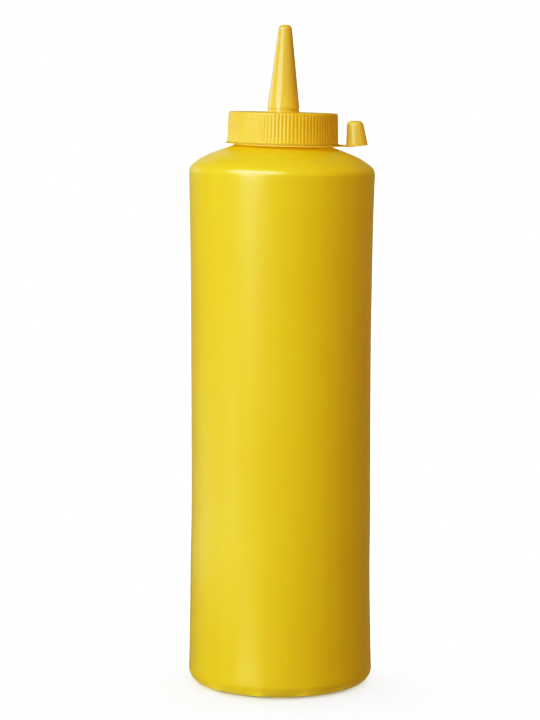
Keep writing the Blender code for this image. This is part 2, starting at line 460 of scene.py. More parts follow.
class Lathe:
    """Turns outlines into closed shells about the Z axis, by one geometry tree."""

    def __init__(self) -> None:
        """Build the tree: a grid of the outline's points by the steps, rolled up and merged."""
        tree = ShapeTree("turned_shell")
        steps = tree.count("Steps")
        crowding = tree.size("Crowding")
        merge = tree.size("Merge Distance")
        rows = tree.wire(
            "GeometryNodeAttributeDomainSize",
            {"component": "MESH"},
            {"Geometry": tree.geometry},
            "Point Count",
        )
        sides = {"Vertices X": steps + 1.0, "Vertices Y": rows}
        grid = tree.wire("GeometryNodeMeshGrid", None, sides, "Mesh")
        index = tree.wire("GeometryNodeInputIndex")
        column = ((index + 0.5) / rows).floor()
        point = tree.wire(
            "GeometryNodeSampleIndex",
            {"data_type": "FLOAT_VECTOR"},
            {
                "Geometry": tree.geometry,
                "Value": tree.wire("GeometryNodeInputPosition"),
                "Index": index - column * rows,
            },
        )
        radius, _, height = tree.split(point)
        even = column / steps * (2.0 * math.pi)
        angle = even - crowding * (even * 2.0).sin() * 0.5
        place = tree.vector(radius * angle.cos(), radius * angle.sin(), height)
        rolled = tree.wire("GeometryNodeSetPosition", None, {"Geometry": grid, "Position": place})
        merged = tree.wire("GeometryNodeMergeByDistance", None, {"Geometry": rolled, "Distance": merge})
        tree.close(merged)
        self.tree = tree

    def turn(
        self,
        name: str,
        outline: list[Point],
        steps: int,
        finish: bpy.types.Material,
        crowding: float = 0.0,
    ) -> bpy.types.Object:
        """Turn an outline.

        Args:
            name: The new object's name.
            outline: Points up the outer side, from the axis to the axis or back to the first point.
            steps: How many steps there are round the axis.
            finish: The shell's material.
            crowding: How much closer the steps lie at -X and +X, from 0 to 1.

        Returns:
            The object, whose modifier still runs.
        """
        made = outline_object(name, outline)
        sizes = {"Steps": steps, "Crowding": crowding, "Merge Distance": MERGE, "Material": finish}
        self.tree.attach(made, sizes)
        return made


@dataclass(frozen=True)
class Lean:
    """The bottle's axis: straight up to start, then an arc of angle up to end."""

    start: float = 117.52 * MM
    end: float = 215.6 * MM
    angle: float = math.radians(1.3)

    @property
    def radius(self) -> float:
        """Radius of the arc that the upper axis follows."""
        return (self.end - self.start) / self.angle

    def closure_place(self) -> Matrix:
        """The place of an upright closure, whose heights are along the bottle's own axis.

        Returns:
            The turn and move that put it there.
        """
        sine, cosine = math.sin(self.angle), math.cos(self.angle)
        top_x = self.radius * (1.0 - cosine)
        top_z = self.start + self.radius * sine
        foot = Vector((top_x - self.end * sine, 0.0, top_z - self.end * cosine))
        return Matrix.Translation(foot) @ Matrix.Rotation(self.angle, 4, "Y")


# ---------------------------------------------------------------------------------------------------------
# Finishes
# ---------------------------------------------------------------------------------------------------------


class Finish(Graph):
    """A material tree round one Principled shader."""

    def __init__(self, name: str) -> None:
        """Start a material with its shader and its object coordinates.

        Args:
            name: The material's name.
        """
        self.material = bpy.data.materials.new(name)
        self.material.use_nodes = True
        super().__init__(self.material.node_tree)
        self.shader = self.tree.nodes["Principled BSDF"]
        self.place = self.wire("ShaderNodeTexCoord", None, None, "Object")

    def scaled(self, x: float, y: float, z: float) -> Wire:
        """Object coordinates times a scale on each axis."""
        values = {"Vector": self.place, "Scale": (x, y, z)}
        return self.wire("ShaderNodeMapping", {"vector_type": "POINT"}, values)

    def noise(self, scale: float, detail: float, place: Wire | None = None) -> Wire:
        """A soft random field.

        Args:
            scale: Features for each metre, or for each unit of place.
            detail: How many finer layers it has.
            place: Other coordinates than the object's.

        Returns:
            The field, about 0.5 in the middle.
        """
        return self.wire(
            "ShaderNodeTexNoise", None, {"Vector": place or self.place, "Scale": scale, "Detail": detail}
        )

    def specks(self, scale: float, size: float) -> Wire:
        """Scattered round specks, one inside each and zero between them."""
        distance = self.wire("ShaderNodeTexVoronoi", None, {"Vector": self.place, "Scale": scale})
        return 1.0 - distance.rise(size * 0.5, size)

    def mix(self, share: Wire, first: Colour | Wire, second: Colour | Wire) -> Wire:
        """One colour blended into another.

        Args:
            share: How much of the second there is.
            first: A colour.
            second: Another colour.

        Returns:
            The blend.
        """
        ends = {
            key: value if isinstance(value, Wire) else (*value, 1.0)
            for key, value in (("A_Color", first), ("B_Color", second))
        }
        return self.wire(
            "ShaderNodeMix", {"data_type": "RGBA"}, {"Factor_Float": share, **ends}, "Result_Color"
        )

    def relief(self, height: Wire, depth: float, under: Wire | None = None) -> Wire:
        """A fine relief.

        Args:
            height: The relief's height, from 0 to 1.
            depth: Its depth in metres.
            under: A coarser relief that it lies on.

        Returns:
            The normal.
        """
        values: Values = {"Height": height, "Distance": depth, "Strength": 1.0}
        if under is not None:
            values["Normal"] = under
        return self.wire("ShaderNodeBump", None, values)

    def feed(self, values: Settings) -> bpy.types.Material:
        """Set or link the shader's own sockets.

        Args:
            values: A number, colour or wire for each socket's name.

        Returns:
            The finished material.
        """
        for name, value in values.items():
            if isinstance(value, Wire):
                self.tree.links.new(value.socket, self.shader.inputs[name])
            else:
                self.shader.inputs[name].default_value = value
        return self.material


@dataclass(frozen=True)
class BlownPolyethylene:
    """Satin skin of a blown bottle: soft mottling, faint upright draw lines, a very fine orange peel."""

    name: str = "blown_polyethylene"
    colour: Colour = (0.80, 0.586, 0.022)
    deep: Colour = (0.775, 0.548, 0.0184)
    roughness: float = 0.305
    roughness_spread: float = 0.05
    mottle_scale: float = 22.0
    mottle_share: float = 0.65
    draw_scale: tuple[float, float, float] = (260.0, 260.0, 9.0)
    shade_range: tuple[float, float] = (0.30, 0.70)
    rub_scale: float = 88.0
    speck_scale: float = 240.0
    speck_size: float = 0.09
    speck_roughness: float = 0.03
    peel_scale: float = 900.0
    peel_depth: float = 0.012 * MM
    sag_scale: float = 130.0
    sag_depth: float = 0.05 * MM
    specular: float = 0.5
    subsurface: float = 0.35
    bleed: tuple[float, float, float] = (1.0, 0.5, 0.08)
    bleed_depth: float = 1.6 * MM
    # painted glow: an orange emission on the neck that lifts the shade under the collar
    painted_neck_glow: Colour = (0.22, 0.133, 0.003)
    painted_neck_glow_foot: float = 203.5 * MM
    painted_neck_glow_full: float = 205.0 * MM
    lean_angle: float = Lean.angle

    def painted_glow(self, tree: Finish) -> Wire:
        """A painted warm glow, an emission where the shoulder runs into the neck: it stands in for light
        that comes through the thin wall and lifts the shade under the collar.

        Args:
            tree: The finish's node tree.

        Returns:
            The colour of the painted glow.
        """
        x, _, z = tree.split(tree.place)
        height = z + x * math.tan(self.lean_angle)
        share = height.rise(self.painted_neck_glow_foot, self.painted_neck_glow_full)
        return tree.mix(share, BLACK, self.painted_neck_glow)

    def material(self) -> bpy.types.Material:
        """Build the material.

        Returns:
            The material.
        """
        tree = Finish(self.name)
        mottle = tree.noise(self.mottle_scale, detail=3.0)
        draw = tree.noise(1.0, detail=2.0, place=tree.scaled(*self.draw_scale))
        shade = (mottle * self.mottle_share + draw * (1.0 - self.mottle_share)).rise(*self.shade_range)
        peel = tree.noise(self.peel_scale, detail=2.0)
        sag = tree.noise(self.sag_scale, detail=1.0)
        rub = tree.noise(self.rub_scale, detail=4.0)
        specks = tree.specks(self.speck_scale, self.speck_size)
        roughness = self.roughness + (rub - 0.5) * self.roughness_spread + specks * self.speck_roughness
        normal = tree.relief(sag, self.sag_depth)
        normal = tree.relief(peel, self.peel_depth, normal)
        return tree.feed(
            {
                "Base Color": tree.mix(shade, self.colour, self.deep),
                "Roughness": roughness,
                "Normal": normal,
                "Specular IOR Level": self.specular,
                "Subsurface Weight": self.subsurface,
                "Subsurface Radius": self.bleed,
                "Subsurface Scale": self.bleed_depth,
                # painted glow on the neck, lifting the shade under the collar
                "Emission Color": self.painted_glow(tree),
                "Emission Strength": 1.0,
            }
        )


@dataclass(frozen=True)
class MouldedPolyethylene:
    """Satin skin of an injection moulding: tighter grain than a blown wall, faint flow marks."""

    name: str
    colour: Colour
    deep: Colour
    roughness: float = 0.34
    roughness_spread: float = 0.08
    flow_scale: float = 90.0
    shade_range: tuple[float, float] = (0.32, 0.68)
    rub_scale: float = 270.0
    grain_scale: float = 1800.0
    grain_depth: float = 0.006 * MM
    spout: Colour = (0.738, 0.508, 0.060)
    spout_height: float = 218.3 * MM
    spout_blend: float = 0.4 * MM
    spout_polish: float = 0.20
    specular: float = 0.5
    subsurface: float = 0.6
    bleed: tuple[float, float, float] = (1.0, 0.55, 0.10)
    bleed_depth: float = 1.2 * MM

    def material(self) -> bpy.types.Material:
        """Build the material.

        Returns:
            The material.
        """
        tree = Finish(self.name)
        shade = tree.noise(self.flow_scale, detail=3.0).rise(*self.shade_range)
        grain = tree.noise(self.grain_scale, detail=2.0)
        rub = tree.noise(self.rub_scale, detail=4.0)
        height = tree.split(tree.place)[2]
        on_spout = height.rise(self.spout_height - self.spout_blend, self.spout_height + self.spout_blend)
        satin = self.roughness + (rub - 0.5) * self.roughness_spread
        return tree.feed(
            {
                "Base Color": tree.mix(on_spout, tree.mix(shade, self.colour, self.deep), self.spout),
                "Roughness": satin - on_spout * self.spout_polish,
                "Normal": tree.relief(grain, self.grain_depth),
                "Specular IOR Level": self.specular,
                "Subsurface Weight": self.subsurface,
                "Subsurface Radius": self.bleed,
                "Subsurface Scale": self.bleed_depth,
            }
        )


@dataclass(frozen=True)
class FloorPaper:
    """Matt white paper with the faintest fibre."""

    name: str = "floor_paper"
    colour: Colour = (0.90, 0.90, 0.90)
    fibre: Colour = (0.87, 0.87, 0.875)
    fibre_scale: float = 140.0
    fibre_range: tuple[float, float] = (0.35, 0.65)
    roughness: float = 0.9
    specular: float = 0.0

    def material(self) -> bpy.types.Material:
        """Build the material.

        Returns:
            The material.
        """
        tree = Finish(self.name)
        fibre = tree.noise(self.fibre_scale, detail=4.0).rise(*self.fibre_range)
        return tree.feed(
            {
                "Base Color": tree.mix(fibre, self.colour, self.fibre),
                "Roughness": self.roughness,
                "Specular IOR Level": self.specular,
            }
        )


# ---------------------------------------------------------------------------------------------------------
# The three mouldings
# ---------------------------------------------------------------------------------------------------------


@dataclass
class BlownBottle:
    """The blown bottle: waisted wall, rounded base, shoulder with a soft ridge, neck.

    The contact ring's inner edge is broken by so much inwards and upwards. The bead fillet's middle is
    given in shares of the fillet, outwards and upwards. The bow grows between the two heights of bow_foot
    and fades from bow_head to the ridge. The pinch line fades out from a share of the push-up's radius
    outwards, and from a share of the straight part's height upwards.
    """

    lathe: Lathe
    lean: Lean
    radius: float = 35.2 * MM
    waist_depth: float = 0.9 * MM
    waist_power: float = 2.5
    base_corner: float = 5.0 * MM
    ridge_height: float = 194.8 * MM
    ridge_corner: float = 4.2 * MM
    ridge_turn: float = math.radians(50)
    shoulder_radius: float = 25.0 * MM
    shoulder_turn: float = math.radians(70)
    contact_ring_inner: float = 24.5 * MM
    contact_ring_break: Point = (0.48 * MM, 0.12 * MM)
    push_up_radius: float = 22.5 * MM
    push_up_edge: float = 1.8 * MM
    push_up_centre: float = 2.4 * MM
    bead_radius: float = 18.3 * MM
    bead_top: float = 205.9 * MM
    bead_fillet: float = 0.6 * MM
    bead_fillet_middle: Point = (0.2, 0.25)
    neck_radius: float = 18.2 * MM
    neck_top: float = 215.6 * MM
    neck_chamfer: float = 0.6 * MM
    steps: int = 240
    crowding: float = 0.72
    wall_rows: int = 72
    parting_height: float = 0.05 * MM
    parting_half_width: float = 0.45 * MM
    parting_valley_half_width: float = 2.6 * MM
    pinch_height: float = 0.35 * MM
    pinch_half_width: float = 0.8 * MM
    pinch_fade: float = 0.9
    pinch_settle: float = 0.1
    wave_depth: float = 0.10 * MM
    wave_scale: float = 24.0
    wave_seed: float = 3.0
    wave_fade_power: float = 8.0
    bow: float = 0.3 * MM
    bow_foot: tuple[float, float] = (40.0 * MM, 68.0 * MM)
    bow_head: float = 148.0 * MM
    crease: float = math.radians(35)
    finish: BlownPolyethylene = BlownPolyethylene()

    def base_outline(self) -> list[Point]:
        """The underside, from the middle of the push-up over the contact ring and round the corner.

        Returns:
            The points, up to the foot of the wall.
        """
        corner = (self.radius - self.base_corner, self.base_corner)
        middle, edge = (0.0, self.push_up_centre), (self.push_up_radius, self.push_up_edge)
        inwards, upwards = self.contact_ring_break
        outline = [middle, *line(middle, edge, pieces=12), edge]
        outline += [(self.contact_ring_inner - inwards, upwards), (self.contact_ring_inner, 0.0)]
        return outline + arc(corner, self.base_corner, -math.pi / 2, 0.0, pieces=16)

    def shoulder_outline(self) -> list[Point]:
        """The soft ridge and the domed shoulder, down to the cone that runs into the neck.

        Returns:
            The points, from the top of the wall.
        """
        ridge = (self.radius - self.ridge_corner, self.ridge_height)
        reach = self.shoulder_radius - self.ridge_corner
        across, up = reach * math.cos(self.ridge_turn), reach * math.sin(self.ridge_turn)
        shoulder = (ridge[0] - across, ridge[1] - up)
        dome = arc(shoulder, self.shoulder_radius, self.ridge_turn, self.shoulder_turn, pieces=12)
        return arc(ridge, self.ridge_corner, 0.0, self.ridge_turn, pieces=14) + dome[1:]

    def outline(self) -> list[Point]:
        """The outline from the middle of the base, up the wall and over the neck to the axis.

        Returns:
            The points.
        """
        shoulder = self.shoulder_outline()
        cone_top = shoulder[-1]
        slope = math.tan(math.pi / 2 - self.shoulder_turn)
        neck_root = cone_top[1] + (cone_top[0] - self.bead_radius) * slope
        cone_foot = (self.bead_radius + self.bead_fillet, neck_root - self.bead_fillet * slope)
        across, up = self.bead_fillet_middle
        outline = self.base_outline()
        outline += line((self.radius, self.base_corner), (self.radius, self.ridge_height), self.wall_rows)
        outline += shoulder
        outline += [*line(cone_top, cone_foot, pieces=5), cone_foot]
        outline += [
            (self.bead_radius + across * self.bead_fillet, neck_root + up * self.bead_fillet),
            (self.bead_radius, neck_root + self.bead_fillet),
            (self.bead_radius, self.bead_top),
            (self.neck_radius, self.bead_top),
            (self.neck_radius, self.neck_top - self.neck_chamfer),
            (self.neck_radius - self.neck_chamfer, self.neck_top),
            (0.0, self.neck_top),
        ]
        return outline

    def shape_tree(self) -> ShapeTree:
        """The rule that waists and bows the wall, raises its parting line and leans its upper half.

        Returns:
            The tree.
        """
        tree = ShapeTree("blown_wall")
        wall_middle, wall_half = tree.size("Wall Middle"), tree.size("Wall Half Height")
        waist_depth, waist_power = tree.size("Waist Depth"), tree.size("Waist Power")
        line_height, line_half = tree.size("Parting Height"), tree.size("Parting Half Width")
        valley_half, outside = tree.size("Valley Half Width"), tree.size("Outside Radius")
        pinch_height, pinch_half = tree.size("Pinch Height"), tree.size("Pinch Half Width")
        pinch_reach = tree.size("Pinch Reach")
        wave_depth, wave_scale, seed = tree.size("Wave Depth"), tree.size("Wave Scale"), tree.size("Seed")
        lean_start, lean_radius = tree.size("Lean Start"), tree.size("Lean Radius")
        bow, bow_low, bow_full = tree.size("Bow"), tree.size("Bow Foot"), tree.size("Bow Full")
        bow_fade, bow_end = tree.size("Bow Fade"), tree.size("Bow End")

        position = tree.wire("GeometryNodeInputPosition")
        x, y, z = tree.split(position)
        radius = (x * x + y * y) ** 0.5
        share = (abs(z - wall_middle) / wall_half).clipped()
        on_wall = 1.0 - share**waist_power
        wave = tree.wire(
            "ShaderNodeTexNoise",
            {"noise_dimensions": "4D"},
            {"Vector": position, "W": seed, "Scale": wave_scale, "Detail": 1.0},
        )
        parting = (y.bump(line_half) - y.bump(valley_half)) * line_height * radius.above(outside)
        waves = wave * wave_depth * (1.0 - share**self.wave_fade_power)
        inwards = on_wall * waist_depth + waves - parting
        factor = 1.0 - inwards / radius.larger(outside)
        pinched = 1.0 - radius.rise(pinch_reach * self.pinch_fade, pinch_reach)
        pinch = y.bump(pinch_half) * pinch_height * pinched
        low = z - pinch * (1.0 - z.rise(lean_start * self.pinch_settle, lean_start))
        shaped_x = x * factor + bow * z.rise(bow_low, bow_full) * (1.0 - z.rise(bow_fade, bow_end))
        turn = (z - lean_start).larger(0.0) / lean_radius
        half_sine = (turn * 0.5).sin()
        leaned = tree.vector(
            shaped_x * turn.cos() + lean_radius * half_sine * half_sine * 2.0,
            y * factor,
            low.smaller(lean_start) + (lean_radius - shaped_x) * turn.sin(),
        )
        placed = tree.wire("GeometryNodeSetPosition", None, {"Geometry": tree.geometry, "Position": leaned})
        tree.close(placed)
        return tree

    def build(self) -> bpy.types.Object:
        """Make the bottle in its finish.

        Returns:
            The piece.
        """
        finish = self.finish.material()
        piece = self.lathe.turn("blown_bottle", self.outline(), self.steps, finish, self.crowding)
        self.shape_tree().attach(
            piece,
            {
                "Wall Middle": (self.base_corner + self.ridge_height) / 2,
                "Wall Half Height": (self.ridge_height - self.base_corner) / 2,
                "Waist Depth": self.waist_depth,
                "Waist Power": self.waist_power,
                "Parting Height": self.parting_height,
                "Parting Half Width": self.parting_half_width,
                "Valley Half Width": self.parting_valley_half_width,
                "Outside Radius": self.contact_ring_inner,
                "Pinch Height": self.pinch_height,
                "Pinch Half Width": self.pinch_half_width,
                "Pinch Reach": self.push_up_radius,
                "Wave Depth": self.wave_depth,
                "Wave Scale": self.wave_scale,
                "Seed": self.wave_seed,
                "Lean Start": self.lean.start,
                "Lean Radius": self.lean.radius,
                "Bow": self.bow,
                "Bow Foot": self.bow_foot[0],
                "Bow Full": self.bow_foot[1],
                "Bow Fade": self.bow_head,
                "Bow End": self.ridge_height,
                "Material": finish,
            },
        )
        return settle(piece, self.crease)


@dataclass
class ScrewCap:
    """The ribbed screw cap and its cone nozzle, one moulding.

    Each of flare_rows is a height over the foot and the share of the flare there, and wall_rows are
    heights over the wall's foot. The rows at the ribs' tops are shares of their rounding, and the floor of
    the nozzle's groove lies between two shares of its height.
    """

    lathe: Lathe
    lean: Lean
    foot: float = 206.3 * MM
    top: float = 217.8 * MM
    radius_foot: float = 21.0 * MM
    radius_top: float = 20.65 * MM
    flare: float = 0.4 * MM
    flare_rows: tuple[Point, ...] = (
        (0.06 * MM, 1.0),
        (0.20 * MM, 0.35),
        (0.34 * MM, 0.12),
        (0.50 * MM, 0.0),
    )
    foot_break: float = 0.05 * MM
    wall_foot: float = 0.60 * MM
    wall_rows: tuple[float, float] = (0.10 * MM, 0.25 * MM)
    edge_radius: float = 0.6 * MM
    top_ring_share: float = 0.7
    bore_radius: float = 18.8 * MM
    bore_top: float = 216.0 * MM
    bore_margin: float = 0.2 * MM
    rib_count: int = 94
    steps_per_rib: int = 8
    rib_depth: float = 0.16 * MM
    rib_root_width: float = 1.24 * MM
    rib_crest_width: float = 0.40 * MM
    rib_foot: float = 206.75 * MM
    rib_top: float = 217.45 * MM
    rib_top_round: float = 0.9 * MM
    rib_top_rows: tuple[float, ...] = (0.0, 0.25, 0.5, 0.68)
    rib_foot_round: float = 0.3 * MM
    nozzle_steps: int = 96
    nozzle_ring_radius: float = 6.01 * MM
    nozzle_ring_top: float = 218.72 * MM
    nozzle_ring_round: float = 0.12 * MM
    nozzle_ring_turn: float = math.radians(80)
    nozzle_groove: float = 0.2 * MM
    nozzle_groove_height: float = 0.32 * MM
    nozzle_groove_floor: tuple[float, float] = (0.25, 0.75)
    nozzle_swell_radius: float = 6.07 * MM
    nozzle_swell_height: float = 219.4 * MM
    nozzle_swell_round: float = 0.35 * MM
    nozzle_swell_start: float = math.radians(-80)
    nozzle_neck_radius: float = 2.62 * MM
    nozzle_neck_height: float = 248.71 * MM
    nozzle_tip_round: float = 2.2 * MM
    nozzle_lip_radius: float = 1.1 * MM
    orifice_radius: float = 1.0 * MM
    orifice_depth: float = 16.0 * MM
    orifice_break: float = 0.05 * MM
    nozzle_rooted: float = 0.9 * MM
    crease: float = math.radians(48)
    finish: MouldedPolyethylene = MouldedPolyethylene(
        "cap_polyethylene", colour=(0.806, 0.532, 0.036), deep=(0.779, 0.500, 0.030)
    )

    def radius_at(self, height: float) -> float:
        """Radius over the rib crests on the drafted skirt."""
        share = (height - self.foot) / (self.top - self.foot)
        return self.radius_foot + (self.radius_top - self.radius_foot) * share

    def skirt_outline(self) -> list[Point]:
        """The outline between the ribs, from the bore's top down, round the foot and over the top.

        Returns:
            The points.
        """
        wall = self.radius_at(self.top) - self.rib_depth
        edge = (wall - self.edge_radius, self.top - self.edge_radius)
        outline = [(0.0, self.bore_top), (self.bore_radius, self.bore_top), (self.bore_radius, self.foot)]
        outline += [(self.radius_at(self.foot) + self.flare - self.foot_break, self.foot)]
        for rise, share in self.flare_rows:
            height = self.foot + rise
            proud = (self.flare + self.rib_depth) * share
            outline += [(self.radius_at(height) - self.rib_depth + proud, height)]
        wall_foot = self.foot + self.wall_foot
        heights = [wall_foot, *(wall_foot + rise for rise in self.wall_rows), (wall_foot + edge[1]) / 2]
        heights += [self.rib_top - self.rib_top_round * (1.0 - share) for share in self.rib_top_rows]
        outline += [(self.radius_at(height) - self.rib_depth, height) for height in heights]
        outline += arc(edge, self.edge_radius, 0.0, math.pi / 2, pieces=7)
        return outline + [(self.radius_top * self.top_ring_share, self.top), (0.0, self.top)]

    def nozzle_outline(self) -> list[Point]:
        """The nozzle's outline from its root, up the cone, over the lip and down the orifice.

        Returns:
            The points.
        """
        rise = self.nozzle_neck_height - self.nozzle_swell_height
        taper = math.atan((self.nozzle_swell_radius - self.nozzle_neck_radius) / rise)
        tip = (
            self.nozzle_neck_radius - self.nozzle_tip_round * math.cos(taper),
            self.nozzle_neck_height - self.nozzle_tip_round * math.sin(taper),
        )
        lip_angle = math.acos((self.nozzle_lip_radius - tip[0]) / self.nozzle_tip_round)
        crown = arc(tip, self.nozzle_tip_round, taper, lip_angle, pieces=14)
        swell = (self.nozzle_swell_radius - self.nozzle_swell_round, self.nozzle_swell_height)
        shoulder = arc(swell, self.nozzle_swell_round, self.nozzle_swell_start, taper, pieces=7)
        root = self.top - self.nozzle_rooted
        ring, ring_top, edge = self.nozzle_ring_radius, self.nozzle_ring_top, self.nozzle_ring_round
        groove = ring - self.nozzle_groove
        lip_height = crown[-1][1]
        outline = [(0.0, root), (ring, root), *line((ring, root), (ring, ring_top - edge), pieces=3)]
        outline += arc((ring - edge, ring_top - edge), edge, 0.0, self.nozzle_ring_turn, pieces=4)
        outline += [(groove, ring_top + self.nozzle_groove_height * s) for s in self.nozzle_groove_floor]
        outline += shoulder + line(shoulder[-1], crown[0], pieces=12) + crown
        outline += [
            (self.orifice_radius, lip_height - self.orifice_break),
            (self.orifice_radius, lip_height - self.orifice_depth),
            (0.0, lip_height - self.orifice_depth),
        ]
        return outline

    def rib_tree(self) -> ShapeTree:
        """The rule that raises upright ribs, rounded at both ends, round the skirt.

        Returns:
            The tree.
        """
        tree = ShapeTree("upright_ribs")
        count = tree.count("Rib Count")
        depth, root, crest = tree.size("Depth"), tree.size("Root Width"), tree.size("Crest Width")
        foot, foot_round = tree.size("Foot Height"), tree.size("Foot Round")
        top, top_round = tree.size("Top Height"), tree.size("Top Round")
        outside = tree.size("Outside Radius")
        x, y, z = tree.split(tree.wire("GeometryNodeInputPosition"))
        radius = (x * x + y * y) ** 0.5
        turn = y.math("ARCTAN2", y, x) * (1.0 / (2.0 * math.pi)) * count
        phase = turn - (turn + 0.5).floor()
        across = abs(phase) * (2.0 * math.pi) * radius / count
        section = 1.0 - across.rise(crest * 0.5, root * 0.5)
        over = ((z - (top - top_round)) / top_round).clipped()
        under = (((foot + foot_round) - z) / foot_round).clipped()
        ends = (1.0 - over * over) ** 0.5 * (1.0 - under * under) ** 0.5
        outwards = 1.0 + section * ends * depth * radius.above(outside) / radius.larger(outside)
        place = tree.vector(x * outwards, y * outwards, z)
        ribbed = tree.wire("GeometryNodeSetPosition", None, {"Geometry": tree.geometry, "Position": place})
        tree.close(ribbed)
        return tree

    def build(self) -> bpy.types.Object:
        """Make the cap and nozzle in one skin.

        Returns:
            The piece.
        """
        finish = self.finish.material()
        steps = self.rib_count * self.steps_per_rib
        piece = self.lathe.turn("cap_moulding", self.skirt_outline(), steps, finish)
        self.rib_tree().attach(
            piece,
            {
                "Rib Count": self.rib_count,
                "Depth": self.rib_depth,
                "Root Width": self.rib_root_width,
                "Crest Width": self.rib_crest_width,
                "Foot Height": self.rib_foot,
                "Foot Round": self.rib_foot_round,
                "Top Height": self.rib_top,
                "Top Round": self.rib_top_round,
                "Outside Radius": self.bore_radius + self.bore_margin,
                "Material": finish,
            },
        )
        settle(piece, self.crease)
        nozzle = self.lathe.turn("nozzle", self.nozzle_outline(), self.nozzle_steps, finish)
        fuse(piece, [settle(nozzle, self.crease)], self.crease)
        piece.data.transform(self.lean.closure_place())
        return piece


@dataclass
class Tether:
    """The collar under the skirt, the strap, and the hollow tip cap at its end, one moulding.

    The heights of the lip and of the crease are over the tip cap's mouth, whose inner edge is broken by so
    much outwards and upwards, and the strap's two heights are over the collar's bottom. The collar rides
    up on the side away from the strap.
    """

    lathe: Lathe
    lean: Lean
    bore_radius: float = 19.55 * MM
    seat_radius: float = 20.9 * MM
    rim_radius: float = 22.05 * MM
    bottom: float = 205.24 * MM
    top: float = 206.27 * MM
    rim_thickness: float = 0.42 * MM
    rim_break: float = 0.06 * MM
    rim_top_break: float = 0.05 * MM
    sweep_rows: int = 5
    ride_up: float = 0.58 * MM
    ride_up_all_round: float = 0.12 * MM
    ride_up_power: float = 1.5
    collar_steps: int = 192
    strap_width: float = 5.5 * MM
    strap_heights: tuple[float, float] = (0.08 * MM, 0.86 * MM)
    strap_edge_radius: float = 0.18 * MM
    strap_start: float = 20.6 * MM
    strap_rows: int = 8
    tip_centre: float = 28.12 * MM
    tip_mouth_height: float = 205.65 * MM
    tip_lean_back: float = math.radians(-6.4)
    tip_crown_slope: float = math.radians(1.3)
    mouth_radius: float = 4.12 * MM
    lip: float = 0.15 * MM
    lip_tuck: float = 0.16 * MM
    lip_heights: tuple[float, float, float] = (0.07 * MM, 0.20 * MM, 0.36 * MM)
    crease_depth: float = 0.12 * MM
    crease_heights: tuple[float, float, float] = (0.50 * MM, 0.60 * MM, 0.76 * MM)
    tip_height: float = 9.6 * MM
    taper: float = math.radians(5.2)
    corner_radius: float = 1.9 * MM
    wall: float = 0.5 * MM
    inner_break: Point = (0.08 * MM, 0.12 * MM)
    crown: float = 0.7 * MM
    inner_corner_radius: float = 1.2 * MM
    tip_steps: int = 96
    crease: float = math.radians(35)
    finish: MouldedPolyethylene = MouldedPolyethylene(
        "tether_polyethylene", colour=(0.778, 0.564, 0.083), deep=(0.756, 0.534, 0.072)
    )

    def collar_outline(self) -> list[Point]:
        """The collar's closed section, up its flared outer side and down its bore.

        Returns:
            The points, the first one again at the end.
        """
        rim_top = self.bottom + self.rim_thickness
        reach, rise = self.rim_radius - self.seat_radius, self.top - rim_top
        section = [
            (self.bore_radius, self.bottom),
            (self.rim_radius - self.rim_break, self.bottom),
            (self.rim_radius, self.bottom + self.rim_break),
            (self.rim_radius, rim_top - self.rim_top_break),
        ]
        for i in range(1, self.sweep_rows + 1):
            turn = math.radians(90.0 * i / self.sweep_rows)
            section += [(self.rim_radius - reach * math.sin(turn), rim_top + rise * (1.0 - math.cos(turn)))]
        return [*section, (self.bore_radius, self.top), section[0]]

    def ridden_up(self, place: Vector) -> Vector:
        """Where a point of the collar goes, whose side away from the strap rides up under the skirt.

        Args:
            place: The point on the level collar.

        Returns:
            Its place on the raised one.
        """
        away = max(0.0, -place.x / self.rim_radius)
        risen = self.ride_up_all_round + self.ride_up * away**self.ride_up_power
        share = (self.top - place.z) / (self.top - self.bottom)
        return Vector((place.x, place.y, place.z + risen * share))

    def leaned_back(self, place: Vector) -> Vector:
        """Where a point of the tip cap goes: its walls lean back, and its crown stays nearly level.

        Args:
            place: The point on the upright cap, whose mouth is at the origin.

        Returns:
            Its place on the leaning one.
        """
        share = place.z / self.tip_height
        mouth_slope, crown_slope = math.tan(-self.tip_lean_back), math.tan(self.tip_crown_slope)
        lifted = place.z + place.x * (mouth_slope + (crown_slope - mouth_slope) * share)
        moved = self.tip_centre + place.x - place.z * mouth_slope
        return Vector((moved, place.y, self.tip_mouth_height + lifted))

    def tip_outline(self) -> list[Point]:
        """The tip cap's section from its inner crown, down the inside, round the lip and up the outside.

        Returns:
            The points.
        """
        slope = math.tan(self.taper)
        crown_radius = self.mouth_radius - self.tip_height * slope
        corner = (crown_radius - self.corner_radius, self.tip_height - self.corner_radius)
        cavity_top = self.tip_height - self.crown
        inner_mouth = self.mouth_radius - self.wall
        inner_end = inner_mouth - cavity_top * slope
        inner_corner = (inner_end - self.inner_corner_radius, cavity_top - self.inner_corner_radius)
        inside = arc(inner_corner, self.inner_corner_radius, math.pi / 2, self.taper, pieces=8)
        break_out, break_up = self.inner_break
        lip_foot, lip_low, lip_high = self.lip_heights
        crease_low, crease_high, wall_foot = self.crease_heights
        foot = (self.mouth_radius - wall_foot * slope, wall_foot)
        outer = arc(corner, self.corner_radius, self.taper, math.pi / 2, pieces=12)
        section = [(0.0, cavity_top), *inside]
        section += [(inner_mouth, break_up), (inner_mouth + break_out, 0.0)]
        section += [(self.mouth_radius - self.lip_tuck, 0.0), (self.mouth_radius, lip_foot)]
        section += [(self.mouth_radius + self.lip, lip_low), (self.mouth_radius + self.lip, lip_high)]
        section += [(self.mouth_radius - self.crease_depth, crease_low)]
        section += [(self.mouth_radius - self.crease_depth, crease_high), foot]
        return section + line(foot, outer[0], pieces=6) + outer + [(0.0, self.tip_height)]

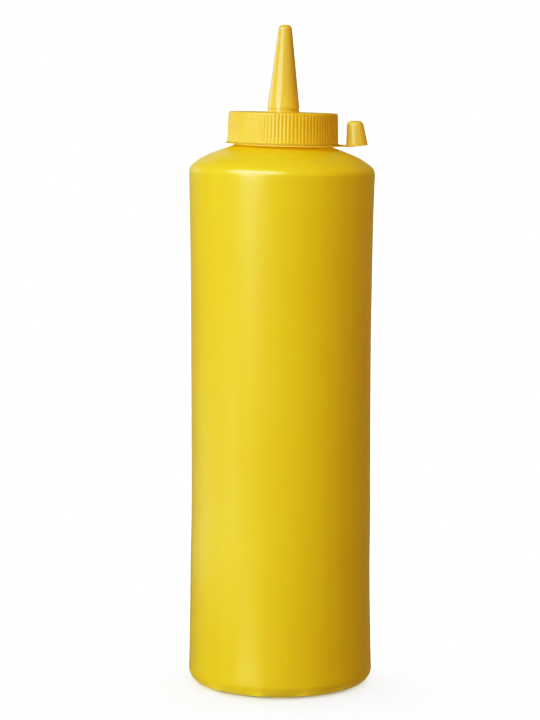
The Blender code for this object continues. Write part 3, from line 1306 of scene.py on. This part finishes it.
    def strap(self, finish: bpy.types.Material) -> bpy.types.Object:
        """The strap: a flat strip whose ends follow the collar and the tip cap's wall.

        Args:
            finish: The strap's material.

        Returns:
            The strip as a closed solid with rounded long edges.
        """
        along, edge = self.strap_rows, self.strap_edge_radius
        flat = self.strap_width / 2 - edge
        low, high = (self.bottom + height for height in self.strap_heights)
        end_radius = self.mouth_radius - self.wall / 2
        section = line((-flat, low), (flat, low), pieces=12)
        section += arc((flat, low + edge), edge, -math.pi / 2, 0.0, pieces=3)
        section += arc((flat, high - edge), edge, 0.0, math.pi / 2, pieces=3)
        section += line((flat, high), (-flat, high), pieces=12)
        section += arc((-flat, high - edge), edge, math.pi / 2, math.pi, pieces=3)
        section += arc((-flat, low + edge), edge, math.pi, 1.5 * math.pi, pieces=3)
        vertices = []
        for i in range(along + 1):
            for y, z in section:
                start = math.sqrt(self.strap_start**2 - y**2)
                end = self.tip_centre - math.sqrt(end_radius**2 - y**2)
                vertices.append((start + (end - start) * i / along, y, z))
        ring = len(section)
        faces = [
            (i * ring + j, i * ring + (j + 1) % ring, (i + 1) * ring + (j + 1) % ring, (i + 1) * ring + j)
            for i in range(along)
            for j in range(ring)
        ]
        faces.append(tuple(range(ring)))
        faces.append(tuple(reversed(range(along * ring, (along + 1) * ring))))
        mesh = bpy.data.meshes.new("strap")
        mesh.from_pydata(vertices, [], faces)
        mesh.materials.append(finish)
        return outward(new_object("strap", mesh))

    def build(self) -> bpy.types.Object:
        """Make the collar, strap and tip cap in one skin.

        Returns:
            The piece.
        """
        finish = self.finish.material()
        collar = self.lathe.turn("tether_moulding", self.collar_outline(), self.collar_steps, finish)
        piece = settle(collar, self.crease)
        for vertex in piece.data.vertices:
            vertex.co = self.ridden_up(vertex.co)
        cup = settle(self.lathe.turn("tip_cup", self.tip_outline(), self.tip_steps, finish), self.crease)
        for vertex in cup.data.vertices:
            vertex.co = self.leaned_back(vertex.co)
        fuse(piece, [self.strap(finish), cup], self.crease)
        piece.data.transform(self.lean.closure_place())
        return piece


def outward(piece: bpy.types.Object) -> bpy.types.Object:
    """Point every face of a closed mesh outwards.

    Args:
        piece: The piece with the mesh.

    Returns:
        The same piece.
    """
    shell = bmesh.new()
    shell.from_mesh(piece.data)
    bmesh.ops.recalc_face_normals(shell, faces=shell.faces)
    shell.to_mesh(piece.data)
    shell.free()
    return piece


# ---------------------------------------------------------------------------------------------------------
# The studio
# ---------------------------------------------------------------------------------------------------------


@dataclass(frozen=True)
class CameraResponse:
    """How the camera turns light into a picture: a little contrast below, a soft shoulder above."""

    white: float = 1.6
    gain: float = 1.485
    contrast: float = 1.564
    stops: int = 24

    def shown(self, light: float) -> float:
        """The brightness shown for an amount of light, one at white."""
        full = 1.0 - math.exp(-self.gain * self.white**self.contrast)
        return (1.0 - math.exp(-self.gain * light**self.contrast)) / full

    def apply(self) -> None:
        """Set the scene's view to this response."""
        view = bpy.context.scene.view_settings
        view.view_transform = "Standard"
        view.look = "None"
        view.use_curve_mapping = True
        mapping = view.curve_mapping
        mapping.white_level = (self.white,) * 3
        mapping.extend = "HORIZONTAL"
        combined = mapping.curves[COMBINED_CURVE]
        for i in range(1, self.stops):
            share = (i / self.stops) ** 2  # closer together in the dark
            combined.points.new(share, self.shown(share * self.white))
        mapping.update()


class Seen(Enum):
    """Which part of a surface's shading a light feeds: its matt skin, its gloss."""

    GLOSS = (False, True)
    MATT = (True, False)


class Reach(Enum):
    """Which pieces a light reaches."""

    WHOLE = (Slot.BOTTLE, Slot.CAP, Slot.TIP)
    CAP = (Slot.CAP,)
    BESIDE_CAP = (Slot.BOTTLE, Slot.TIP)


def towards(azimuth: float, elevation: float = 0.0) -> Vector:
    """The way to a light, azimuth 0 on the camera's side and growing towards +X, in degrees."""
    turn, rise = math.radians(azimuth), math.radians(elevation)
    return Vector((math.sin(turn) * math.cos(rise), -math.cos(turn) * math.cos(rise), math.sin(rise)))


@dataclass(frozen=True)
class SoftLight:
    """A rectangular soft box that faces the bottle."""

    name: str
    azimuth: float
    elevation: float
    distance: float
    width: float
    height: float
    power: float
    seen: Seen
    colour: Colour = WHITE
    aim: tuple[float, float, float] = (0.0, 0.0, 0.12)
    reach: Reach = Reach.WHOLE

    def placing(self) -> Matrix:
        """Where the light stands and how it is turned.

        Returns:
            Its place in the scene.
        """
        away = towards(self.azimuth, self.elevation)
        spot = Vector(self.aim) + away * self.distance
        return Matrix.Translation(spot) @ away.to_track_quat("Z", "Y").to_matrix().to_4x4()

    def build(self, lit: bpy.types.Collection) -> None:
        """Make the light.

        Args:
            lit: The pieces that it lights.
        """
        data = bpy.data.lights.new(self.name, "AREA")
        data.shape = "RECTANGLE"
        data.size = self.width
        data.size_y = self.height
        data.energy = self.power
        data.color = self.colour
        light = new_object(self.name, data)
        light.matrix_world = self.placing()
        light.visible_camera = False
        light.visible_diffuse, light.visible_glossy = self.seen.value
        light.light_linking.receiver_collection = lit


@dataclass(frozen=True)
class FloorBand(SoftLight):
    """A soft band of light that lies on the floor, centred at azimuth and distance, and shines up."""

    heading: float = 0.0
    raised: float = 0.1 * MM

    def placing(self) -> Matrix:
        """Flat on the floor with its length along the heading.

        Returns:
            Its place in the scene.
        """
        along, down = towards(self.heading), Vector((0.0, 0.0, -1.0))
        turn = Matrix((along.cross(down), along, down)).transposed().to_4x4()
        spot = towards(self.azimuth) * self.distance + Vector((0.0, 0.0, self.raised))
        return Matrix.Translation(spot) @ turn


def collection_of(name: str, members: list[bpy.types.Object]) -> bpy.types.Collection:
    """A collection that says what a light reaches.

    Args:
        name: Its name.
        members: The objects in it.

    Returns:
        The collection.
    """
    collection = bpy.data.collections.new(name)
    for member in members:
        collection.objects.link(member)
    return collection


@dataclass(frozen=True)
class FloorLight:
    """A broad light on the floor alone, leaning over from behind the bottle."""

    name: str
    strength: float
    spread: float
    lean: float
    colour: Colour
    shadows: bool = True

    def build(self, only_floor: bpy.types.Collection) -> None:
        """Make the light.

        Args:
            only_floor: What it lights, and without shadows also all that can shade it.
        """
        data = bpy.data.lights.new(self.name, "SUN")
        data.energy = self.strength
        data.color = self.colour
        data.angle = self.spread
        sun = new_object(self.name, data)
        sun.rotation_euler = (-self.lean, 0.0, 0.0)
        sun.light_linking.receiver_collection = only_floor
        if not self.shadows:
            sun.light_linking.blocker_collection = only_floor


@dataclass
class Studio:
    """Pale floor, white surround, soft lights and the camera.

    Each light of a fan on the floor is an azimuth in degrees and a power in watts.
    """

    response: CameraResponse = CameraResponse()
    paper: FloorPaper = FloorPaper()
    floor_half: float = 4.0
    floor_lights: tuple[FloorLight, ...] = (
        FloorLight("floor_light", 6.0, math.radians(140), math.radians(42.0), (1.0, 1.01, 1.04)),
        FloorLight("floor_lift", 1.55, 0.0, 0.0, (0.97, 1.0, 1.04), shadows=False),
    )
    left_fan: tuple[tuple[int, float], ...] = ((-66, 1.05), (-86, 0.40), (-106, 0.64), (-126, 0.26))
    base_fan: tuple[tuple[int, float], ...] = (
        (-90, 3.0e-4),
        (-60, 4.0e-4),
        (-30, 3.0e-4),
        (0, 2.4e-4),
        (30, 2.4e-4),
        (60, 2.0e-4),
        (90, 1.5e-4),
    )
    shoulder_aim: tuple[float, float, float] = (0.0, 0.0, 0.16)
    cap_aim: tuple[float, float, float] = (0.0, 0.0, 0.21)
    spout_aim: tuple[float, float, float] = (0.0, 0.0, 0.235)
    ambient: float = 0.008
    gloss_ambient: float = 0.36
    background: float = 2.0
    camera_place: tuple[float, float, float] = (-3.85 * MM, -940.0 * MM, 230.2 * MM)
    camera_down: float = math.radians(6.46)
    lens: float = 124.05
    sensor: float = 36.0

    def matt_lights(self) -> list[SoftLight]:
        """The lights on the matt skin, each by azimuth, elevation, distance, width, height and power.

        Returns:
            The lights.
        """
        return [
            SoftLight("key", -35.0, 21.0, 1.2, 1.0, 1.1, 24.5, Seen.MATT, (1.0, 0.99, 1.70)),
            SoftLight(
                "right_fill", 88.0, 6.0, 1.2, 1.0, 0.9, 12.9, Seen.MATT,
                colour=(1.0, 0.78, 0.433), reach=Reach.BESIDE_CAP,
            ),
            SoftLight(
                "cap_right_fill", 88.0, 6.0, 1.2, 1.0, 0.9, 11.0, Seen.MATT,
                colour=(1.0, 0.76, 0.46), reach=Reach.CAP,
            ),
            SoftLight("left_fill", -105.0, 15.0, 1.2, 0.8, 0.8, 0.8, Seen.MATT),
            SoftLight("overhead", -30.0, 75.0, 1.1, 0.6, 0.6, 2.5, Seen.MATT),
            SoftLight("back_fill", 180.0, 15.0, 1.4, 0.9, 0.9, 20.0, Seen.MATT),
        ]

    def gloss_lights(self) -> list[SoftLight]:
        """The boxes that the gloss mirrors, each by azimuth, elevation, distance, width, height and power.

        Returns:
            The lights.
        """
        return [
            SoftLight("upper_box", -36.0, 40.0, 0.8, 0.80, 0.20, 9.5, Seen.GLOSS, aim=self.shoulder_aim),
            SoftLight("lower_box", -38.0, 9.0, 0.8, 0.26, 0.16, 2.2, Seen.GLOSS, aim=self.shoulder_aim),
            SoftLight("spout_box", -41.0, 14.5, 0.8, 0.65, 0.12, 1.12, Seen.GLOSS, aim=self.spout_aim),
            SoftLight("cap_edge_box", -132.0, 8.0, 0.6, 0.34, 0.22, 0.25, Seen.GLOSS, aim=self.cap_aim),
            SoftLight(
                "cap_left_box", -116.0, 6.0, 0.6, 0.34, 0.22, 0.42, Seen.GLOSS,
                aim=self.cap_aim, reach=Reach.CAP,
            ),
            SoftLight("back_strip", -165.0, 12.0, 1.0, 0.3, 0.9, 0.43, Seen.GLOSS),
        ]

    def floor_bands(self) -> list[SoftLight]:
        """The bands on the floor: one near the front, a fan to the left, and a ring round the base.

        Returns:
            The lights.
        """
        bands = [FloorBand("near_band", -40.6, 0.0, 0.20, 0.032, 0.3, 0.094, Seen.GLOSS, heading=-46.6)]
        for turn, power in self.left_fan:
            name = f"left_band_{-turn}"
            bands.append(FloorBand(name, turn, 0.0, 0.60, 0.22, 0.7, power, Seen.GLOSS, heading=turn))
        for i, (turn, power) in enumerate(self.base_fan):
            name, across = f"base_glow_{i}", turn + 90.0
            bands.append(FloorBand(name, turn, 0.0, 0.0343, 0.0052, 0.021, power, Seen.MATT, heading=across))
        return bands

    def floor(self) -> None:
        """The floor, which lights neither the wall nor its gloss, and its own lights."""
        half = self.floor_half
        corners = [(-half, -half, 0.0), (half, -half, 0.0), (half, half, 0.0), (-half, half, 0.0)]
        mesh = bpy.data.meshes.new("floor")
        mesh.from_pydata(corners, [], [(0, 1, 2, 3)])
        mesh.materials.append(self.paper.material())
        floor = new_object("floor", mesh)
        floor.visible_glossy = False
        floor.visible_diffuse = False
        only_floor = collection_of("lit_floor", [floor])
        for light in self.floor_lights:
            light.build(only_floor)

    def surround(self) -> None:
        """A white background for the camera and a dim even light for all else."""
        world = bpy.data.worlds.new("surround")
        bpy.context.scene.world = world
        world.use_nodes = True
        graph = Graph(world.node_tree)
        world.node_tree.nodes.clear()
        ray = graph.node("ShaderNodeLightPath")
        to_camera = Wire(graph, graph.socket(ray.outputs, "Is Camera Ray"))
        to_gloss = Wire(graph, graph.socket(ray.outputs, "Is Glossy Ray"))
        matt_or_gloss = self.ambient + (self.gloss_ambient - self.ambient) * to_gloss
        strength = matt_or_gloss + (self.background - matt_or_gloss) * to_camera
        light = graph.wire("ShaderNodeBackground", None, {"Strength": strength})
        graph.node("ShaderNodeOutputWorld", None, {"Surface": light})

    def camera(self) -> None:
        """The camera, in front of the bottle and looking a little down on it."""
        data = bpy.data.cameras.new("camera")
        data.lens = self.lens
        data.sensor_width = self.sensor
        camera = new_object("camera", data)
        camera.location = self.camera_place
        camera.rotation_euler = (math.pi / 2 - self.camera_down, 0.0, 0.0)
        bpy.context.scene.camera = camera

    def build(self, pieces: dict[Slot, bpy.types.Object]) -> None:
        """Set up the whole studio.

        Args:
            pieces: The pieces that stand in it, by their slots.
        """
        self.response.apply()
        self.floor()
        self.surround()
        self.camera()
        lit = {
            reach: collection_of(f"lit_{reach.name.lower()}", [pieces[slot] for slot in reach.value])
            for reach in Reach
        }
        for light in self.matt_lights() + self.gloss_lights() + self.floor_bands():
            light.build(lit[light.reach])


# ---------------------------------------------------------------------------------------------------------
# The whole
# ---------------------------------------------------------------------------------------------------------


def place(piece: bpy.types.Object, node: str, slot: Slot) -> None:
    """Put a piece in the frame in place of a CAD node.

    Args:
        piece: The finished piece.
        node: The CAD node that it stands for.
        slot: Not used.
    """
    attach(piece, BODY)
    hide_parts(node)
    LOG.info("%s stands for %s: %d faces", piece.name, node, len(piece.data.polygons))


def main() -> None:
    """Build the bottle, its closures and the studio."""
    logging.basicConfig(level=logging.INFO)
    lathe, lean = Lathe(), Lean()
    pieces = [BlownBottle(lathe, lean).build(), ScrewCap(lathe, lean).build(), Tether(lathe, lean).build()]
    for piece, node, slot in zip(pieces, ("bottle", "screw_cap", "tip_cap"), Slot):
        place(piece, node, slot)
    Studio().build(dict(zip(Slot, pieces)))


if __name__ == "__main__":
    main()
